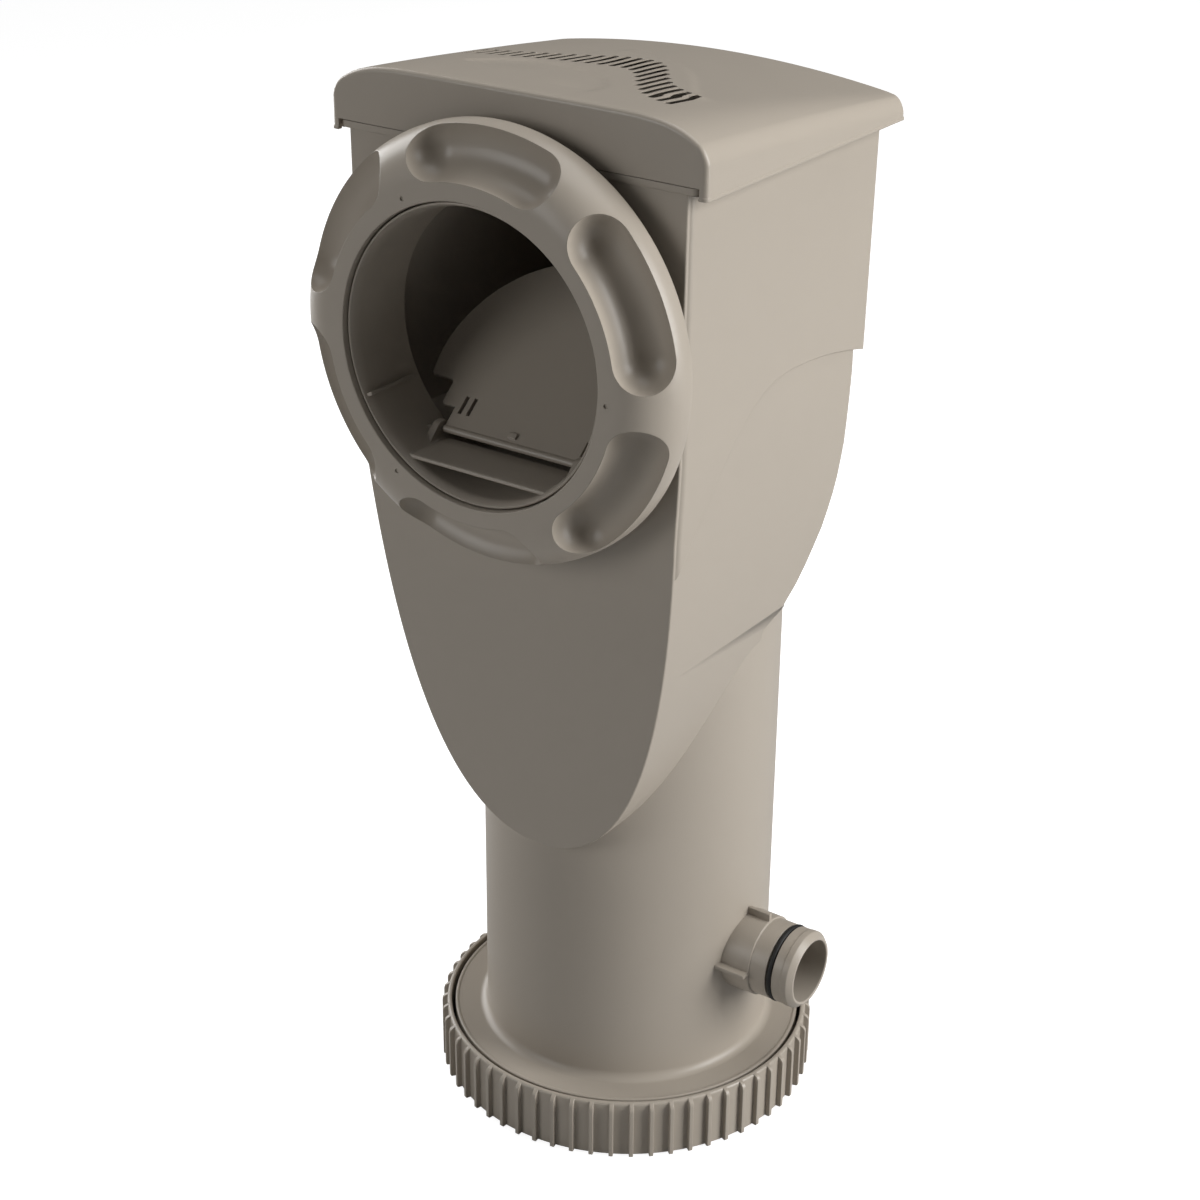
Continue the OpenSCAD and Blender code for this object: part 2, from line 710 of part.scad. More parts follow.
module lock_ring() {
    tip_r = ring_out_r + rib_h;
    lip_r = foot_r + 1.5;
    top_land = 3;
    color(plastic) translate([0, 0, ring_z]) difference() {
        union() {
            intersection() {
                linear_extrude(height = ring_h - top_land + 0.6)
                    polygon(rib_outline(rib_count, ring_out_r - 0.4, tip_r, 1.1));
                union() {
                    cylinder(r1 = tip_r - 0.8, r2 = tip_r + 0.4, h = 1.2);
                    translate([0, 0, 1.2 - eps]) cylinder(r = tip_r + 0.4, h = ring_h - top_land - 3.2);
                    translate([0, 0, ring_h - top_land - 2 - 2 * eps])
                        cylinder(r1 = tip_r + 0.4, r2 = tip_r - 2.4, h = 2.4);
                }
            }
            cylinder(r = ring_out_r, h = ring_h - 1.5);
            translate([0, 0, ring_h - 1.5 - eps])
                cylinder(r1 = ring_out_r, r2 = ring_out_r - 0.9, h = 1.5 + eps);
        }
        translate([0, 0, ring_lip_t]) cylinder(r = ring_in_r, h = ring_h);
        translate([0, 0, -1]) cylinder(r = lip_r, h = ring_h);
    }
}

module base_seal() {
    color(rubber) translate([0, 0, seal_z]) ring(flange_r - 0.5, tube_in_r + 2, seal_t);
}

screw_pcd_r = can_r - 14;
plate_screw_r = can_r - 7;
screw_r = 1.95;
screw_hole_r = 2;
head_r = 3.8;
gland_y = tube_in_r - 7.3;
gland_r = 4.5;
module motor_base() {
    color(dark_plastic) difference() {
        union() {
            cylinder(r = foot_r, h = base_plate_t);
            translate([0, 0, base_flange_z]) cylinder(r = flange_r - 0.5, h = base_plate_t - base_flange_z);
            translate([0, 0, base_flange_z]) ring(flange_r - 0.5, tube_in_r - 2, base_flange_t);
            translate([0, gland_y, 0]) cylinder(r = gland_r + 4, h = seal_z);
        }
        for (i = [0:3]) rotate(i * 90 + 45) translate([screw_pcd_r, 0, -1]) {
            cylinder(r = screw_hole_r + 0.2, h = base_plate_t + 2);
            cylinder(r = head_r + 0.4, h = 1 + 3.4);
        }
        translate([0, gland_y, -1]) cylinder(r = gland_r + running_gap, h = seal_z + 2);
        translate([0, 0, base_plate_t]) cylinder(r = can_r + seat_gap, h = can_h);
    }
}

module base_screws() {
    color(steel) for (i = [0:3]) rotate(i * 90 + 45) translate([screw_pcd_r, 0, 0.4]) {
        cylinder(r = head_r, h = 3);
        cylinder(r = screw_r, h = base_plate_t + 4);
    }
}

module cord_gland() {
    color(rubber) translate([0, gland_y, 1]) difference() {
        union() {
            cylinder(r = gland_r, h = seal_z + 2);
            translate([0, 0, seal_z - 0.9]) cylinder(r = gland_r + 1.2, h = 3);
        }
        translate([0, 0, -1]) cylinder(r = gland_r - 1.5, h = far);
    }
}

// Motor can: potted stator round a wet rotor well
well_r = rotor_r + 0.9;
well_wall = 2;
can_wall = 2.5;
can_floor = 6;
module motor_can() {
    color(dark_plastic) translate([0, 0, can_z]) difference() {
        cylinder(r = can_r, h = can_h);
        translate([0, 0, can_floor]) ring(can_r - can_wall, well_r + well_wall, can_h - can_floor - 3);
        translate([0, 0, can_floor - 3]) cylinder(r = well_r, h = can_h);
        for (i = [0:3]) rotate(i * 90 + 45) {
            translate([screw_pcd_r, 0, -1]) cylinder(r = screw_hole_r, h = can_floor);
            translate([plate_screw_r, 0, can_h - 2.9]) cylinder(r = screw_hole_r, h = can_h);
        }
    }
}

stator_z = can_z + can_floor + 4;
stator_h = 34;
pole_count = 6;
pole_half_w = 5;
module stator_core() {
    shoe_r = well_r + well_wall + 0.3;
    yoke_r = can_r - can_wall - 3;
    color(steel) translate([0, 0, stator_z]) {
        ring(yoke_r, yoke_r - 7, stator_h);
        for (i = [0:pole_count - 1]) rotate(i * 360 / pole_count) difference() {
            translate([shoe_r - 1, -pole_half_w, 0]) cube([yoke_r - shoe_r - 5, 2 * pole_half_w, stator_h]);
            translate([0, 0, -1]) cylinder(r = shoe_r, h = stator_h + 2);
        }
    }
}

module coil_windings() {
    coil_in = pole_half_w + seat_gap;
    coil_t = 4;
    coil_from = well_r + well_wall + 8;
    coil_len = can_r - can_wall - 10 - coil_from - 2;
    color(copper) translate([0, 0, stator_z]) for (i = [0:pole_count - 1]) rotate(i * 360 / pole_count)
        translate([coil_from, 0, 0]) difference() {
            translate([0, -coil_in - coil_t, -3.7]) cube([coil_len, 2 * (coil_in + coil_t), stator_h + 7.4]);
            translate([-1, -coil_in, -seat_gap]) cube([coil_len + 2, 2 * coil_in, stator_h + 2 * seat_gap]);
        }
}

bush_r = 7;
bush_h = 6;
lower_bush_z = can_z + can_floor - 3;
thrust_z = lower_bush_z + bush_h;
thrust_t = 1;
rotor_z = thrust_z + thrust_t + seat_gap;
rotor_len = can_top_z - 4 - rotor_z;
module lower_bush() {
    color(dark_plastic) translate([0, 0, lower_bush_z])
        ring(well_r - running_gap, shaft_r + running_gap, bush_h);
}

module thrust_washer() {
    color(steel) translate([0, 0, thrust_z]) ring(bush_r, shaft_r + running_gap, thrust_t);
}

module rotor_magnet() {
    color(dark_plastic) translate([0, 0, rotor_z]) ring(rotor_r, shaft_r, rotor_len);
}

// Bearing plate with the raised back wall of the pump chamber
back_wall_z = outlet_z - nozzle_bore - 4;
module bearing_plate() {
    dome_r = volute_r - seat_gap;
    dome_wall = 3;
    plate_r = can_r;
    color(dark_plastic) difference() {
        union() {
            translate([0, 0, can_top_z]) cylinder(r = plate_r, h = bearing_flange_t);
            translate([0, 0, volute_z - eps]) cylinder(r = dome_r, h = back_wall_z - volute_z);
        }
        translate([0, 0, can_top_z - 1])
            ring(dome_r - dome_wall, bush_r + dome_wall, back_wall_z - can_top_z + 1 - dome_wall);
        translate([0, 0, can_top_z - 1]) cylinder(r = bush_r, h = far);
        for (i = [0:3]) rotate(i * 90 + 45) translate([plate_screw_r, 0, can_top_z - 1])
            cylinder(r = screw_hole_r, h = far);
    }
}

module upper_bush() {
    color(dark_plastic) translate([0, 0, back_wall_z - bush_h])
        ring(bush_r - running_gap, shaft_r + running_gap, bush_h);
}

impeller_z = back_wall_z + 2;
impeller_h = chamber_top_z - 4 - impeller_z;
hub_r = 7;
module pump_shaft() {
    shaft_len = impeller_z + impeller_h - 6 - lower_bush_z - seat_gap;
    color(steel) translate([0, 0, lower_bush_z + seat_gap]) cylinder(r = shaft_r, h = shaft_len);
}

module impeller() {
    disc_t = 2.5;
    vane_t = 2;
    eye_r = 17;
    arc_r = impeller_r * 0.62;
    color(pale_plastic) translate([0, 0, impeller_z]) difference() {
        union() {
            cylinder(r = impeller_r, h = disc_t);
            cylinder(r = hub_r, h = impeller_h - 5);
            translate([0, 0, impeller_h - disc_t]) ring(impeller_r, eye_r, disc_t);
            intersection() {
                for (i = [0:vane_count - 1]) rotate(i * 360 / vane_count)
                    translate([arc_r + hub_r - 4, 0, 0]) rotate(75) rotate_extrude(angle = 105)
                        translate([arc_r - vane_t / 2, 0]) square([vane_t, impeller_h]);
                cylinder(r = impeller_r, h = impeller_h);
            }
        }
        translate([0, 0, impeller_h - 5]) cylinder(r = eye_r - 3, h = 10);
        translate([0, 0, -1]) cylinder(r = shaft_r, h = impeller_h - 5);
    }
}

// Volute: pump casing with the inlet neck on top and the outlet nozzle to the side
volute_neck_r = 24;
volute_neck_h = 10;
nozzle_end = sqrt(pow(tube_in_r, 2) - pow(nozzle_bore + 2.5, 2)) - 1;
module volute() {
    neck_bore = volute_neck_r - 3.5;
    color(dark_plastic) difference() {
        union() {
            translate([0, 0, volute_z]) cylinder(r = can_r, h = 4);
            translate([0, 0, volute_z]) cylinder(r = volute_r + volute_wall, h = volute_top_z - volute_z);
            translate([0, 0, volute_top_z - eps]) cylinder(r = volute_neck_r, h = volute_neck_h);
            to_outlet() cylinder(r = nozzle_bore + 2.5, h = nozzle_end);
        }
        translate([0, 0, volute_z - 1]) cylinder(r = volute_r, h = chamber_top_z - volute_z + 1);
        translate([0, 0, volute_z]) cylinder(r = neck_bore, h = far);
        to_outlet() translate([0, 0, volute_r / 2]) cylinder(r = nozzle_bore, h = far);
        for (i = [0:3]) rotate(i * 90 + 45) translate([plate_screw_r, 0, volute_z - 1])
            cylinder(r = screw_hole_r, h = far / 2);
    }
}

module volute_seal() {
    color(rubber) to_outlet() translate([0, 0, nozzle_end])
        ring(seal_seat_r - 0.1, nozzle_bore, seal_seat_x - seat_gap - nozzle_end);
}

module volute_screws() {
    color(steel) for (i = [0:3]) rotate(i * 90 + 45) translate([plate_screw_r, 0, can_top_z - 2.5]) {
        cylinder(r = screw_r, h = 2.5 + bearing_flange_t + 4);
        translate([0, 0, 2.5 + bearing_flange_t + 4]) cylinder(r = head_r, h = 3);
    }
}

skimmer_box();
filter_tube();
tube_flange();
inlet_throat();
wall_gasket();
slip_washer();
flange_nut();
weir_door();
weir_pin();
lid();
basket();
basket_handle();
cartridge_media();
cartridge_top_cap();
cartridge_bottom_cap();
cartridge_core();
outlet_spigot();
outlet_o_ring();
lock_ring();
base_seal();
motor_base();
motor_can();
stator_core();
coil_windings();
rotor_magnet();
pump_shaft();
lower_bush();
upper_bush();
thrust_washer();
bearing_plate();
impeller();
volute();
volute_seal();
volute_screws();
base_screws();
cord_gland();
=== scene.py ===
# %% [markdown]
# A skimming filter pump stands beside an above-ground pool. Its box takes water in through a
# round neck, a hand nut clamps that neck through the pool wall, and a filter tube with a pump
# in its foot stands under the box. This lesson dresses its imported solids: each visible moulding
# is modelled again with soft edges, and every inner piece keeps its solid and gets a finish.

# %% Load the solids
import math
import bpy
from mathutils import Vector, Matrix


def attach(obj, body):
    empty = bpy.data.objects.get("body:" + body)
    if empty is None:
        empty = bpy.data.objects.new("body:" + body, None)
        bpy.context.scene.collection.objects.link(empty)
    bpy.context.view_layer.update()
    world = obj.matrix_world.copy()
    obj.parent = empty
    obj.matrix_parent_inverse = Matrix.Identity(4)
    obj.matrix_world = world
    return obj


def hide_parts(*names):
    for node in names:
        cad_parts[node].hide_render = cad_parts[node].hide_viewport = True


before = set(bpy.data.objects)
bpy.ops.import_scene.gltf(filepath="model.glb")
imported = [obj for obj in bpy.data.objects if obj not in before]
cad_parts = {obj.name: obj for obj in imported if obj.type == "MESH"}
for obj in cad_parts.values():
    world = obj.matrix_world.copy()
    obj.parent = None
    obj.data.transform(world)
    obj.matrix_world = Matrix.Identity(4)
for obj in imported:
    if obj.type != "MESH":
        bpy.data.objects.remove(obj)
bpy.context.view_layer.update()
mm = 0.001

# %% [markdown]
# The camera comes first. Its place and lens were solved from the ellipses of the tube and the
# corners of the box. It stands to the right of the front and looks down by about 26 degrees,
# with half a degree of roll.

# %% Camera
turn, dip, roll = math.radians(34.72), math.radians(25.88), math.radians(0.52)
ahead = Vector((-math.sin(turn) * math.cos(dip), math.cos(turn) * math.cos(dip), -math.sin(dip)))
level = Vector((math.cos(turn), math.sin(turn), 0))
above = level.cross(ahead)
cam_x = level * math.cos(roll) + above * math.sin(roll)
cam_y = above * math.cos(roll) - level * math.sin(roll)
cam_data = bpy.data.cameras.new("view_camera")
cam_data.sensor_width = 36
cam_data.lens = 70.5
camera = bpy.data.objects.new("view_camera", cam_data)
bpy.context.scene.collection.objects.link(camera)
camera.matrix_world = Matrix.Translation((0.6279, -0.9364, 0.8344)) @ Matrix(
    (cam_x, cam_y, -ahead)).transposed().to_4x4()
bpy.context.scene.camera = camera
print("camera at", [round(c, 3) for c in camera.location])

# %% [markdown]
# Shader maths reads best as plain expressions. One small class wraps a socket, so that
# "grain * 0.3 + 0.4" adds the Math nodes, and one method adds any other node.

# %% Shader expressions
class Wire:
    def __init__(self, tree, socket):
        self.tree, self.socket = tree, socket

    def math(self, operation, first, second):
        node = self.tree.nodes.new("ShaderNodeMath")
        node.operation = operation
        for slot, value in zip(node.inputs, (first, second)):
            if isinstance(value, Wire):
                self.tree.links.new(value.socket, slot)
            else:
                slot.default_value = value
        return Wire(self.tree, node.outputs[0])

    def __add__(self, other): return self.math("ADD", self, other)
    def __radd__(self, other): return self.math("ADD", other, self)
    def __sub__(self, other): return self.math("SUBTRACT", self, other)
    def __mul__(self, other): return self.math("MULTIPLY", self, other)


class Finish:
    def __init__(self, name):
        self.material = bpy.data.materials.new(name)
        self.material.use_nodes = True
        self.tree = self.material.node_tree
        self.shader = self.tree.nodes["Principled BSDF"]

    def node(self, kind, settings=None, out=0, **inputs):
        made = self.tree.nodes.new(kind)
        for key, value in (settings or {}).items():
            setattr(made, key, value)
        for key, value in inputs.items():
            self.feed(made.inputs[key.replace("_", " ")], value)
        return Wire(self.tree, made.outputs[out])

    def feed(self, slot, value):
        if isinstance(value, Wire):
            self.tree.links.new(value.socket, slot)
        else:
            slot.default_value = value

    def set(self, **inputs):
        for key, value in inputs.items():
            self.feed(self.shader.inputs[key.replace("_", " ")], value)

    def place(self):
        return self.node("ShaderNodeTexCoord", out=3)

    def noise(self, scale, detail=2.0, rough=0.5):
        return self.node("ShaderNodeTexNoise", Vector=self.place(), Scale=scale,
                         Detail=detail, Roughness=rough)

    def blend(self, mask, dark, light):
        made = self.tree.nodes.new("ShaderNodeMix")
        made.data_type = "RGBA"
        self.feed(made.inputs[0], mask)
        self.feed(made.inputs[6], dark)
        self.feed(made.inputs[7], light)
        return Wire(self.tree, made.outputs[2])


print("shader helpers ready")

# %% [markdown]
# Moulded polypropylene has three scales of detail. The colour drifts a little over a few
# centimetres where the melt flowed, a fine spark-eroded grain breaks up the gloss, and edges
# are never quite sharp. A Bevel node rounds the normals at the edges by half a millimetre, and
# the grain is laid on top of it with a Bump node.

# %% Moulded plastic
def moulded(name, colour, gloss, grain_size, grain_depth, edge, drift=0.025, sheen=0.4):
    made = Finish(name)
    flow = made.noise(9.0, 3.0)
    cloud = made.noise(55.0, 2.0)
    grain = made.noise(grain_size, 2.0, 0.6)
    dark = [c * (1 - drift) for c in colour] + [1]
    light = [min(1, c * (1 + drift)) for c in colour] + [1]
    made.set(Base_Color=made.blend(flow * 0.65 + cloud * 0.35, dark, light),
             Roughness=gloss + (cloud - 0.5) * 0.03 + (grain - 0.5) * 0.06,
             Specular_IOR_Level=sheen)
    round_edge = made.node("ShaderNodeBevel", {"samples": 6}, Radius=edge)
    made.set(Normal=made.node("ShaderNodeBump", Strength=0.25, Distance=grain_depth,
                              Height=grain, Normal=round_edge))
    return made.material


taupe = (0.372, 0.330, 0.278)
shell_plastic = moulded("shell_plastic", taupe, 0.38, 1500, 0.00008, 0.0005)
loose_plastic = moulded("loose_plastic", [c * 1.02 for c in taupe], 0.33, 1300, 0.00003, 0.0005)
black_plastic = moulded("black_plastic", (0.022, 0.022, 0.022), 0.4, 1200, 0.00008, 0.0004, 0.1)
pale_plastic = moulded("pale_plastic", (0.66, 0.67, 0.64), 0.35, 1200, 0.00005, 0.0004)
black_rubber = moulded("black_rubber", (0.012, 0.012, 0.012), 0.55, 900, 0.0001, 0.0003, 0.15, 0.4)
print("plastics made")

# %% [markdown]
# Metal needs a direction. Stretching a noise along one axis gives the fine lines of a drawn rod
# or a rolled sheet, and those lines change the roughness and the height together.

# %% Metals, paper and magnet
def metal(name, colour, gloss, stretch):
    made = Finish(name)
    lines = made.node("ShaderNodeTexNoise", Scale=400.0, Detail=2.0, Vector=made.node(
        "ShaderNodeMapping", Vector=made.place(), Scale=stretch))
    made.set(Base_Color=made.blend(lines, [c * 0.86 for c in colour] + [1], list(colour) + [1]),
             Metallic=1.0, Roughness=gloss + (lines - 0.5) * 0.2)
    made.set(Normal=made.node("ShaderNodeBump", Strength=0.2, Distance=0.00005, Height=lines))
    return made.material


steel = metal("turned_steel", (0.56, 0.57, 0.58), 0.3, (1, 1, 0.05))
copper = metal("wound_copper", (0.72, 0.33, 0.16), 0.32, (0.1, 0.1, 3))
magnet = metal("ferrite", (0.10, 0.10, 0.105), 0.5, (1, 1, 1))
pleats = Finish("pleated_paper")
fibre = pleats.noise(700.0, 3.0, 0.7)
pleats.set(Base_Color=pleats.blend(fibre, (0.72, 0.75, 0.78, 1), (0.86, 0.88, 0.9, 1)),
           Roughness=0.85 + (fibre - 0.5) * 0.1)
pleats.set(Normal=pleats.node("ShaderNodeBump", Strength=0.4, Distance=0.0002, Height=fibre))
print("metals and paper made")

# %% [markdown]
# Inner pieces keep their solids, because the source already gives them their true form. They
# only need the right finish in their material slots. The solids of the outer mouldings get
# their finish here too, although a modelled piece takes their place below.

# %% Finishes of the solids
inner = {
    "wall_gasket": black_rubber, "slip_washer": black_plastic, "weir_pin": steel,
    "basket": black_plastic, "basket_handle": black_plastic, "cartridge_media": pleats.material,
    "cartridge_top_cap": black_rubber, "cartridge_bottom_cap": black_rubber,
    "cartridge_core": pale_plastic, "base_seal": black_rubber, "motor_base": black_plastic,
    "motor_can": black_plastic, "stator_core": steel, "coil_windings": copper,
    "rotor_magnet": magnet, "pump_shaft": steel, "lower_bush": black_plastic,
    "upper_bush": black_plastic, "thrust_washer": steel, "bearing_plate": black_plastic,
    "impeller": pale_plastic, "volute": black_plastic, "volute_seal": black_rubber,
    "volute_screws": steel, "base_screws": steel, "cord_gland": black_rubber,
    "skimmer_box": shell_plastic, "filter_tube": shell_plastic, "tube_flange": shell_plastic,
    "inlet_throat": shell_plastic, "outlet_spigot": shell_plastic, "flange_nut": loose_plastic,
    "weir_door": loose_plastic, "lid": loose_plastic, "lock_ring": loose_plastic,
    "outlet_o_ring": black_rubber}
for name, finish in inner.items():
    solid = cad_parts[name]
    for slot in solid.material_slots:
        slot.material = finish
    if not solid.material_slots:
        solid.data.materials.append(finish)
print("finished", len(inner), "solids")

# %% [markdown]
# The stage is a plain pale floor under four soft panels. The strongest stands on the right, so
# the side wall is bright. One on the left, a little over half as strong, opens the shaded flank,
# a weak one in front lifts the scoops of the nut, and one overhead lights the lid. The world
# is white to the camera and through clear things, and only a faint glow to all other rays.

# %% Stage and light
def lamp(name, place, aim, size, power):
    data = bpy.data.lights.new(name, "AREA")
    data.shape = "RECTANGLE"
    data.size, data.size_y = size
    data.energy = power
    made = bpy.data.objects.new(name, data)
    bpy.context.scene.collection.objects.link(made)
    made.location = place
    made.rotation_euler = (Vector(aim) - Vector(place)).to_track_quat("-Z", "Y").to_euler()


lamp("right_panel", (2.2, 0.55, 1.15), (0, 0, 0.35), (1.2, 2.0), 74)
lamp("left_panel", (-2.0, 0.35, 0.9), (0, 0, 0.3), (1.4, 2.2), 42)
lamp("front_panel", (-1.1, -2.2, 1.0), (0, 0, 0.35), (1.0, 1.2), 15)
lamp("top_panel", (0.1, 0.3, 2.4), (0, 0, 0.3), (1.6, 1.6), 18)
bpy.context.scene.view_settings.view_transform = "Standard"
world = bpy.data.worlds.new("studio")
bpy.context.scene.world = world
world.use_nodes = True
sky = world.node_tree
sky.nodes.clear()
rays = sky.nodes.new("ShaderNodeLightPath")
camera_ray = Wire(sky, rays.outputs["Is Camera Ray"])
seen = camera_ray.math("MAXIMUM", camera_ray, Wire(sky, rays.outputs["Is Transmission Ray"]))
glow = sky.nodes.new("ShaderNodeBackground")
glow.inputs["Color"].default_value = (1, 1, 1, 1)
faint, full = 0.06, 1.0
strength = seen * (full - faint) + faint
sky.links.new(strength.socket, glow.inputs["Strength"])
sky.links.new(glow.outputs[0], sky.nodes.new("ShaderNodeOutputWorld").inputs["Surface"])

bpy.ops.object.select_all(action="DESELECT")
bpy.ops.mesh.primitive_circle_add(vertices=96, radius=9, fill_type="NGON", location=(0, 0, 0))
floor = bpy.context.object
floor.name = "studio_floor"
floor_grey, floor_shown = 0.4, 0.91
paint = Finish("floor_paint")
paint.set(Base_Color=(floor_grey, floor_grey, floor_grey, 1), Roughness=0.9)
floor_rays = paint.tree.nodes.new("ShaderNodeLightPath")
paint.set(Emission_Strength=1.0, Emission_Color=paint.blend(
    Wire(paint.tree, floor_rays.outputs["Is Camera Ray"]), (0, 0, 0, 1),
    (floor_shown, floor_shown, floor_shown, 1)))
floor.data.materials.append(paint.material)
print("stage lit")

# %% [markdown]
# Every moulding below is drawn the way a modeller would by hand: a primitive is added, its
# points are extruded, spun, inset, bevelled or cut, and the result is smoothed. These helpers
# keep the steps short. A piece is always placed by its mesh, so its object stays at the origin.

# %% Modelling helpers
def only(*objects):
    if bpy.context.object and bpy.context.object.mode != "OBJECT":
        bpy.ops.object.mode_set(mode="OBJECT")
    bpy.ops.object.select_all(action="DESELECT")
    for each in objects:
        each.select_set(True)
        bpy.context.view_layer.objects.active = each


def fix_place(piece):
    only(piece)
    bpy.ops.object.transform_apply(location=True, rotation=True, scale=True)
    return piece


def edit(piece, select="DESELECT", kind="VERT"):
    only(piece)
    bpy.ops.object.mode_set(mode="EDIT")
    bpy.ops.mesh.select_mode(type=kind)
    bpy.ops.mesh.select_all(action=select)


def leave():
    bpy.ops.object.mode_set(mode="OBJECT")


def drag(vector):
    bpy.ops.mesh.extrude_region_move(TRANSFORM_OT_translate={"value": tuple(vector)})


def run_of_points(name, points):
    only()
    bpy.ops.mesh.primitive_plane_add(size=0.001, location=points[0])
    piece = bpy.context.object
    piece.name = name
    fix_place(piece)
    edit(piece, "SELECT")
    bpy.ops.mesh.merge(type="CENTER")
    for a, b in zip(points, points[1:]):
        drag(Vector(b) - Vector(a))
    leave()
    return piece


def tidy_skin(piece):
    edit(piece, "SELECT")
    bpy.ops.mesh.remove_doubles(threshold=0.00001)
    bpy.ops.mesh.normals_make_consistent(inside=False)
    leave()
    return piece


def turned(name, outline, steps=160, axis="Z", centre=(0, 0, 0)):
    """A closed outline of (radius, height) in mm, spun about an axis through centre."""
    lift = {"Z": lambda r, h: (r, 0, h), "Y": lambda r, h: (r, -h, 0),
            "X": lambda r, h: (h, r, 0)}[axis]
    centre = Vector(centre) * mm
    points = [Vector(lift(r, h)) * mm + centre for r, h in outline + outline[:1]]
    piece = run_of_points(name, points)
    edit(piece, "SELECT")
    bpy.ops.mesh.spin(steps=steps, angle=math.radians(360), center=centre,
                      axis={"Z": (0, 0, 1), "Y": (0, 1, 0), "X": (1, 0, 0)}[axis])
    leave()
    return tidy_skin(piece)


def plate(name, outline, depth, lift):
    """A closed outline in mm made a face, then extruded by depth."""
    points = [Vector(lift(a, b)) * mm for a, b in outline]
    piece = run_of_points(name, points)
    edit(piece, "SELECT")
    bpy.ops.mesh.edge_face_add()
    drag(Vector(depth) * mm)
    leave()
    return tidy_skin(piece)


def block(name, low, high):
    only()
    low, high = Vector(low) * mm, Vector(high) * mm
    bpy.ops.mesh.primitive_cube_add(size=1, location=(low + high) / 2)
    piece = bpy.context.object
    piece.name = name
    piece.scale = high - low
    return fix_place(piece)


def finish_with(piece, kind, **settings):
    only(piece)
    step = piece.modifiers.new(kind.lower(), kind)
    for key, value in settings.items():
        setattr(step, key, value)
    bpy.ops.object.modifier_apply(modifier=step.name)
    return piece


def cut(piece, cutter):
    finish_with(piece, "BOOLEAN", operation="DIFFERENCE", object=cutter, solver="EXACT")
    bpy.data.objects.remove(cutter)
    return piece


def joined(name, *pieces):
    only(*pieces)
    bpy.context.view_layer.objects.active = pieces[0]
    bpy.ops.object.join()
    pieces[0].name = name
    return pieces[0]


def bevel_edges(piece, chosen, width, steps=3):
    """Rounds the edges for which chosen(a, b) is true, a and b being their ends in mm."""
    edit(piece, "DESELECT", "EDGE")
    leave()
    at = [v.co / mm for v in piece.data.vertices]
    for edge in piece.data.edges:
        edge.select = bool(chosen(at[edge.vertices[0]], at[edge.vertices[1]]))
    bpy.ops.object.mode_set(mode="EDIT")
    bpy.ops.mesh.bevel(offset=width * mm, segments=steps, affect="EDGES", clamp_overlap=True)
    leave()
    return piece


def dress(piece, finish, body, slot, *nodes, angle=32):
    only(piece)
    piece.data.materials.clear()
    piece.data.materials.append(finish)
    bpy.ops.object.shade_smooth_by_angle(angle=math.radians(angle))
    finish_with(piece, "WEIGHTED_NORMAL", keep_sharp=True, weight=60)
    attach(piece, body)
    if nodes:
        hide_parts(*nodes)
    print(piece.name, len(piece.data.polygons), "faces")
    return piece


def arc(centre, radius, start, end, steps):
    """Points in mm round a centre, from one angle in degrees to another."""
    return [(centre[0] + radius * math.cos(math.radians(start + (end - start) * i / steps)),
             centre[1] + radius * math.sin(math.radians(start + (end - start) * i / steps)))
            for i in range(steps + 1)]


def soft_step(low, high, value):
    """0 below low, 1 above high, and a smooth rise between them."""
    t = min(1, max(0, (value - low) / (high - low)))
    return t * t * (3 - 2 * t)


# %% [markdown]
# The filter tube is a turned form: a wall, a small fillet at its foot, a flange plate with a
# fine raised lip, and a skirt that the lock ring screws round. One outline is spun about the
# tube's axis, and the return hole is cut through the wall on the right.

# %% Filter tube
spigot_z = 98
tube_outline = ([(76.8, 14), (80, 14), (80, 31.5), (96, 31.5), (96, 14), (98.6, 14), (98.8, 14.3)]
                + arc((98.0, 33.5), 0.8, 0, 90, 4) + [(97.2, 34.3), (96.6, 33.9), (95.8, 33.9)]
                + arc((85.0, 38.9), 5.0, 270, 180, 6)
                + [(80, 60), (80, 120), (80, 330), (76.8, 330)])
tube = turned("tube_moulding", tube_outline, 192)
only()
bpy.ops.mesh.primitive_cylinder_add(vertices=64, radius=18.5 * mm, depth=60 * mm,
                                    location=(90 * mm, 0, spigot_z * mm),
                                    rotation=(0, math.pi / 2, 0))
cut(tube, fix_place(bpy.context.object))
dress(tube, shell_plastic, "shell", "shell", "filter_tube", "tube_flange")

# %% [markdown]
# The lock ring is a plain band with sixty grip ribs. One rib is drawn as a rounded bar that
# fades at its top, then it is copied round the band. Each copy has its own mesh, and all of
# them are joined to the band.

# %% Lock ring
band_outline = ([(93.5, 0.8), (103.0, 0.8), (103.5, 1.3), (103.5, 33.5)]
                + arc((102.0, 33.5), 1.5, 0, 90, 4)
                + [(101.2, 35.0), (100.85, 34.6), (100.85, 4.0), (93.5, 4.0)])
band = turned("grip_band", band_outline, 240)
rib_side = [(102.9, 1.2), (106.0, 1.2), (106.45, 1.7), (106.45, 30.8), (106.3, 32.0), (105.8, 33.0),
            (105.0, 33.8), (104.0, 34.4), (102.9, 34.7)]
rib = plate("grip_rib", rib_side, (0, 2.3, 0), lambda a, b: (a, -1.15, b))
bevel_edges(rib, lambda a, b: a.x > 103.2 and b.x > 103.2 and abs(a.y - b.y) < 0.1, 0.75, 3)
ribs, rib_count = [], 60
for number in range(rib_count):
    copy = rib.copy()
    copy.data = rib.data.copy()
    bpy.context.scene.collection.objects.link(copy)
    copy.rotation_euler = (0, 0, math.radians(360 / rib_count * number))
    ribs.append(copy)
bpy.data.objects.remove(rib)
for each in ribs:
    fix_place(each)
ring = joined("lock_ring_moulding", band, *ribs)
dress(ring, loose_plastic, "base_ring", "shell_loose", "lock_ring", angle=40)

